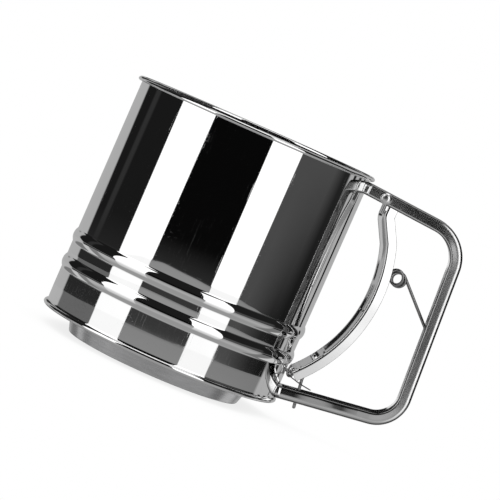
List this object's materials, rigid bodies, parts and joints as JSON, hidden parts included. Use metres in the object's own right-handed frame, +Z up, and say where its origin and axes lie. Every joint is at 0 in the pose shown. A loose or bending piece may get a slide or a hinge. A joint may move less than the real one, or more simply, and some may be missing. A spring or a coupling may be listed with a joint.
{
  "type": "flour sifter",
  "caption": "One-hand squeeze flour sifter: polished steel cup with ridges, tapered base ring, woven screen with turning agitator, loop handle with sprung trigger.",
  "frame": {"origin": "on the cup's axis, in the plane of the base ring's resting edge", "axes": "+Z up along the cup's axis, +X from the axis to the handle, +Y away from a viewer who sees the handle on the right"},
  "size_m": [0.1527, 0.1036, 0.1059],
  "materials": {
    "polished_steel": "mirror-polished stainless sheet with fine handling scratches",
    "satin_steel": "satin stainless sheet",
    "screen_wire": "plain woven stainless wire",
    "fastener_steel": "turned and tumbled steel",
    "spring_wire": "bright drawn spring wire"
  },
  "bodies": {
    "frame": {"cup_body": "polished_steel", "base_ring": "satin_steel", "mesh_screen": "screen_wire", "screen_retainer_ring": "satin_steel", "support_bridge": "satin_steel", "pivot_stud": "fastener_steel", "bearing_washer": "fastener_steel", "top_washer": "fastener_steel", "cap_nut": "fastener_steel", "handle_frame": "polished_steel", "trigger_rivet": "fastener_steel"},
    "trigger": {"trigger": "polished_steel", "guide_rod": "spring_wire"},
    "spring": {"return_spring": "spring_wire"},
    "link": {"drive_link": "spring_wire", "link_push_nut": "fastener_steel", "link_clip": "spring_wire"},
    "agitator": {"agitator_hub": "fastener_steel", "agitator_blades": "satin_steel", "crank_arm": "satin_steel"}
  },
  "joints": [
    {"name": "trigger_squeeze", "type": "hinge", "parent": "frame", "child": "trigger", "pos_m": [0.0588, 0, 0.10015], "axis": [0, -1, 0], "range_deg": [0, 15]},
    {"name": "spring_flex", "type": "hinge", "parent": "trigger", "child": "spring", "pos_m": [0.0754, 0, 0.0729], "axis": [0, -1, 0], "range_deg": [-35.6, 0]},
    {"name": "link_pivot", "type": "hinge", "parent": "trigger", "child": "link", "pos_m": [0.05195, 0, 0.0199], "axis": [0, -1, 0], "range_deg": [-15, 0]},
    {"name": "agitator_turn", "type": "hinge", "parent": "frame", "child": "agitator", "pos_m": [0, 0, 0.012], "axis": [0, 0, -1], "range_deg": [0, 60]}
  ],
  "couplings": [
    {"joint": "spring_flex", "follows": "trigger_squeeze", "ratio": -2.37},
    {"joint": "link_pivot", "follows": "trigger_squeeze", "ratio": -1},
    {"joint": "agitator_turn", "follows": "trigger_squeeze", "ratio": 4}
  ]
}
